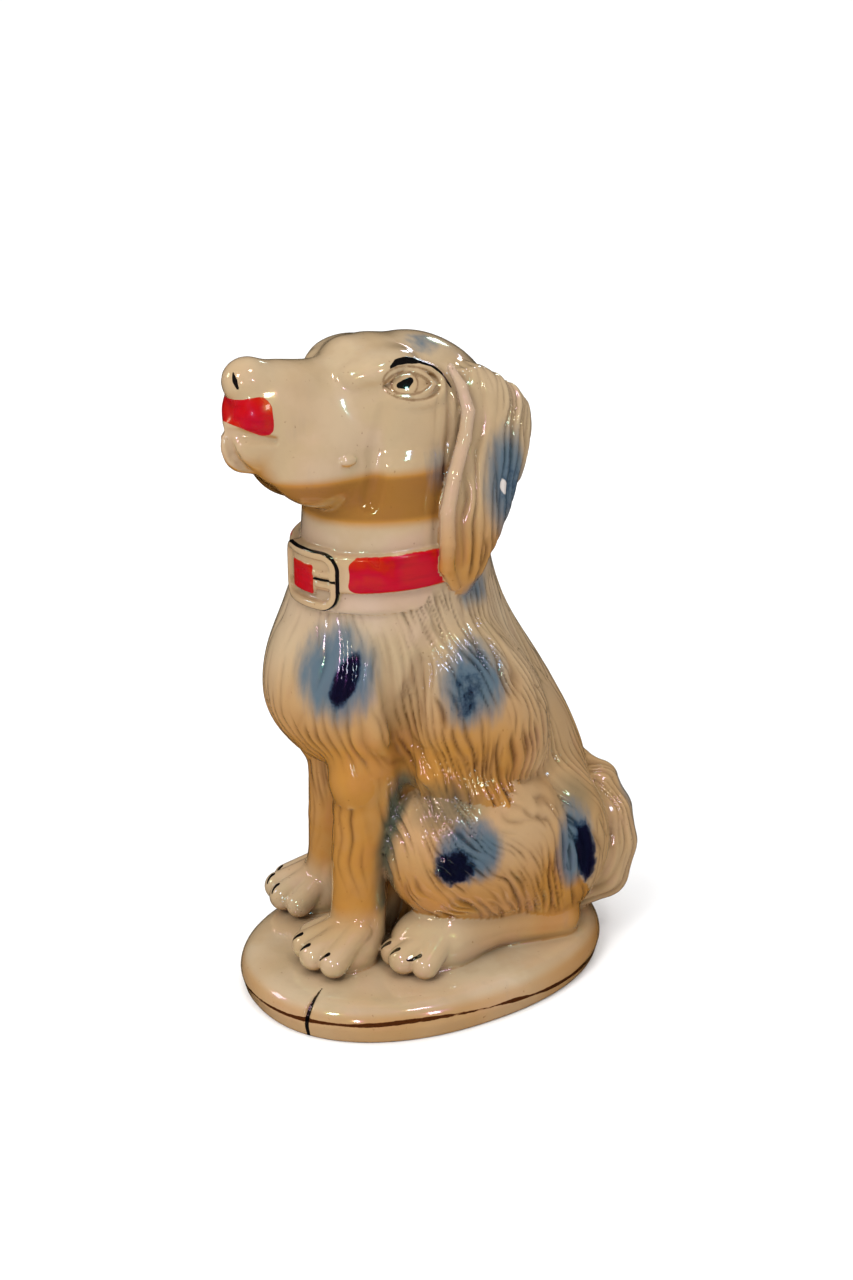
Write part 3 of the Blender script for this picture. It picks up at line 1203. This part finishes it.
def glaze_material(name):
    """Lustre glaze over slip, with its sprayed spots, brush marks and gilding."""
    n = Nodes(name)
    cloud = n.noise(28.0, 4.0, 0.55)
    fine = n.noise(260.0, 3.0, 0.6)
    ridge = n.layer("ridge")
    base = spot_color(n, slip_color(n, cloud, fine, ridge), cloud, fine, ridge)

    edge = n.swing(fine, 0.9)
    gilt = n.ramp(n.plus(n.layer("gilt_line"), edge), 0.15, -0.15)
    base = n.mix(gilt, base, COPPER)
    red = n.ramp(n.plus(n.layer("red_paint"), edge), 0.12, -0.12)
    brushed = n.noise(60.0, 4.0, 0.6, (1, 1, 6))
    base = n.mix(red, base, n.mix(n.ramp(brushed, 0.40, 0.75), RED, DARK_RED))
    black = n.ramp(n.plus(n.layer("black_line"), n.times(edge, 0.5)), 0.10, -0.10)

    wavy = n.bump(n.noise(95.0, 2.0, 0.5), 0.10, 0.0012)
    normal = n.bump(fine, 0.08, 0.0004, wavy)
    normal = n.bump(n.math("MAXIMUM", red, black), 0.5, 0.00015, normal)
    for socket, value in {
            "Base Color": n.mix(black, base, BLACK),
            "Roughness": n.plus(n.ramp(cloud, 0.3, 0.8, 0.10, 0.22), n.times(red, 0.14)),
            "Metallic": n.times(gilt, 0.75), "IOR": 1.56, "Normal": normal,
            "Coat Weight": n.ramp(red, 0.0, 1.0, 0.90, 0.30), "Coat Roughness": 0.035,
            "Coat IOR": 1.6, "Coat Normal": wavy,
            "Thin Film Thickness": n.ramp(cloud, 0.3, 0.7, 300.0, 560.0),
            "Thin Film IOR": 1.38}.items():
        n.feed(n.shader.inputs[socket], value)
    return n.material


def studio_material(name, color):
    """The pale studio floor, with the faintest mottling."""
    n = Nodes(name)
    tone = n.noise(6.0, 2.0, 0.5)
    n.feed(n.shader.inputs["Base Color"], n.mix(tone, color, tuple(0.97 * c for c in color[:3]) + (1,)))
    n.shader.inputs["Roughness"].default_value = 0.9
    n.shader.inputs["Specular IOR Level"].default_value = 0.1
    return n.material


# ---- Studio ----
def make_floor():
    """A pale sweep of paper under the figure."""
    mesh = bpy.data.meshes.new("studio_floor")
    half = 40.0
    mesh.from_pydata([(-half, -half, 0), (half, -half, 0), (half, half, 0), (-half, half, 0)], [],
                     [(0, 1, 2, 3)])
    mesh.materials.append(studio_material("studio_paper", (0.97, 0.97, 0.97, 1)))
    floor = bpy.data.objects.new("studio_floor", mesh)
    bpy.context.scene.collection.objects.link(floor)
    floor.visible_glossy = False


def area_light(name, place, target, size, power, color):
    """A rectangular soft box aimed at a point."""
    light = bpy.data.lights.new(name, "AREA")
    light.shape = "RECTANGLE"
    light.size, light.size_y = size
    light.energy = power
    light.color = color
    lamp = bpy.data.objects.new(name, light)
    lamp.location = place
    lamp.rotation_euler = (Vector(target) - Vector(place)).to_track_quat("-Z", "Y").to_euler()
    bpy.context.scene.collection.objects.link(lamp)


def soft_sun(name, direction, power, spread):
    """An even light from one side of the sky, soft enough to blur its shadow."""
    light = bpy.data.lights.new(name, "SUN")
    light.energy = power
    light.angle = math.radians(spread)
    lamp = bpy.data.objects.new(name, light)
    lamp.visible_glossy = False
    lamp.rotation_euler = Vector(direction).to_track_quat("Z", "Y").to_euler()
    bpy.context.scene.collection.objects.link(lamp)


def make_studio():
    """Soft boxes round the figure and a pale sky."""
    target = (0.0, 0.0, 0.15)
    for name, place, size, power, color in (
            ("key_box", (0.75, -1.05, 1.25), (0.22, 0.32), 5.0, (1.0, 0.98, 0.95)),
            ("window_box", (1.35, 0.35, 0.75), (0.16, 0.26), 2.6, (0.97, 0.98, 1.0)),
            ("low_box", (1.25, -0.75, 0.42), (0.10, 0.22), 1.6, (1.0, 0.99, 0.97)),
            ("high_box", (0.65, 0.25, 1.45), (0.20, 0.20), 2.4, (1.0, 0.99, 0.98)),
            ("back_box", (-1.1, 0.9, 0.9), (0.2, 0.3), 1.6, (1.0, 0.99, 0.97)),
            ("front_box", (-0.5, -1.3, 0.8), (0.3, 0.4), 2.5, (1.0, 0.99, 0.97))):
        area_light(name, place, target, size, power, color)
    soft_sun("key_sun", (0.45, -0.75, 1.0), 0.95, 30.0)
    soft_sun("fill_sun", (-0.55, 0.35, 1.0), 0.75, 45.0)
    soft_sun("top_sun", (0.15, -0.10, 1.0), 1.15, 50.0)
    world = bpy.data.worlds.new("studio_sky")
    world.use_nodes = True
    background = world.node_tree.nodes["Background"]
    background.inputs["Color"].default_value = (0.97, 0.98, 1.0, 1)
    background.inputs["Strength"].default_value = 0.34
    bpy.context.scene.world = world
    world.cycles_visibility.glossy = False
    bpy.context.scene.view_settings.view_transform = "Standard"


CAMERA_AZIMUTH = math.radians(70.0)
CAMERA_RISE = math.radians(22.41)
CAMERA_DISTANCE = 0.900
CAMERA_TARGET = (-19.86, 7.84, 147.33)
FILM_HEIGHT = 36.0
FOCAL_LENGTH = 54.977


def make_camera():
    """A view of the dog's left side from a little in front and above."""
    back = Vector((math.sin(CAMERA_AZIMUTH) * math.cos(CAMERA_RISE),
                   -math.cos(CAMERA_AZIMUTH) * math.cos(CAMERA_RISE),
                   math.sin(CAMERA_RISE)))
    target = Vector([(c + offset) * MM for c, offset in zip(CAMERA_TARGET, (DOG_X, DOG_Y, 0.0))])
    data = bpy.data.cameras.new("camera")
    data.sensor_fit = "VERTICAL"
    data.sensor_height = FILM_HEIGHT
    data.lens = FOCAL_LENGTH
    data.clip_start = 0.01
    camera = bpy.data.objects.new("camera", data)
    camera.location = target + back * CAMERA_DISTANCE
    camera.rotation_euler = back.to_track_quat("Z", "Y").to_euler()
    bpy.context.scene.collection.objects.link(camera)
    bpy.context.scene.camera = camera


def dress(pieces):
    """Give every piece its place in the assembly and its glaze."""
    slots = {row["node"]: row["material_slot"] for row in frame["record"]["subparts"]}
    materials = {}
    for node, piece in pieces.items():
        slot = slots[node]
        if slot not in materials:
            materials[slot] = glaze_material(f"{slot}_finish")
        piece.data.materials.append(materials[slot])
        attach(piece, "root")
        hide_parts(node)


make_camera()
make_floor()
make_studio()
dress(sculpt())
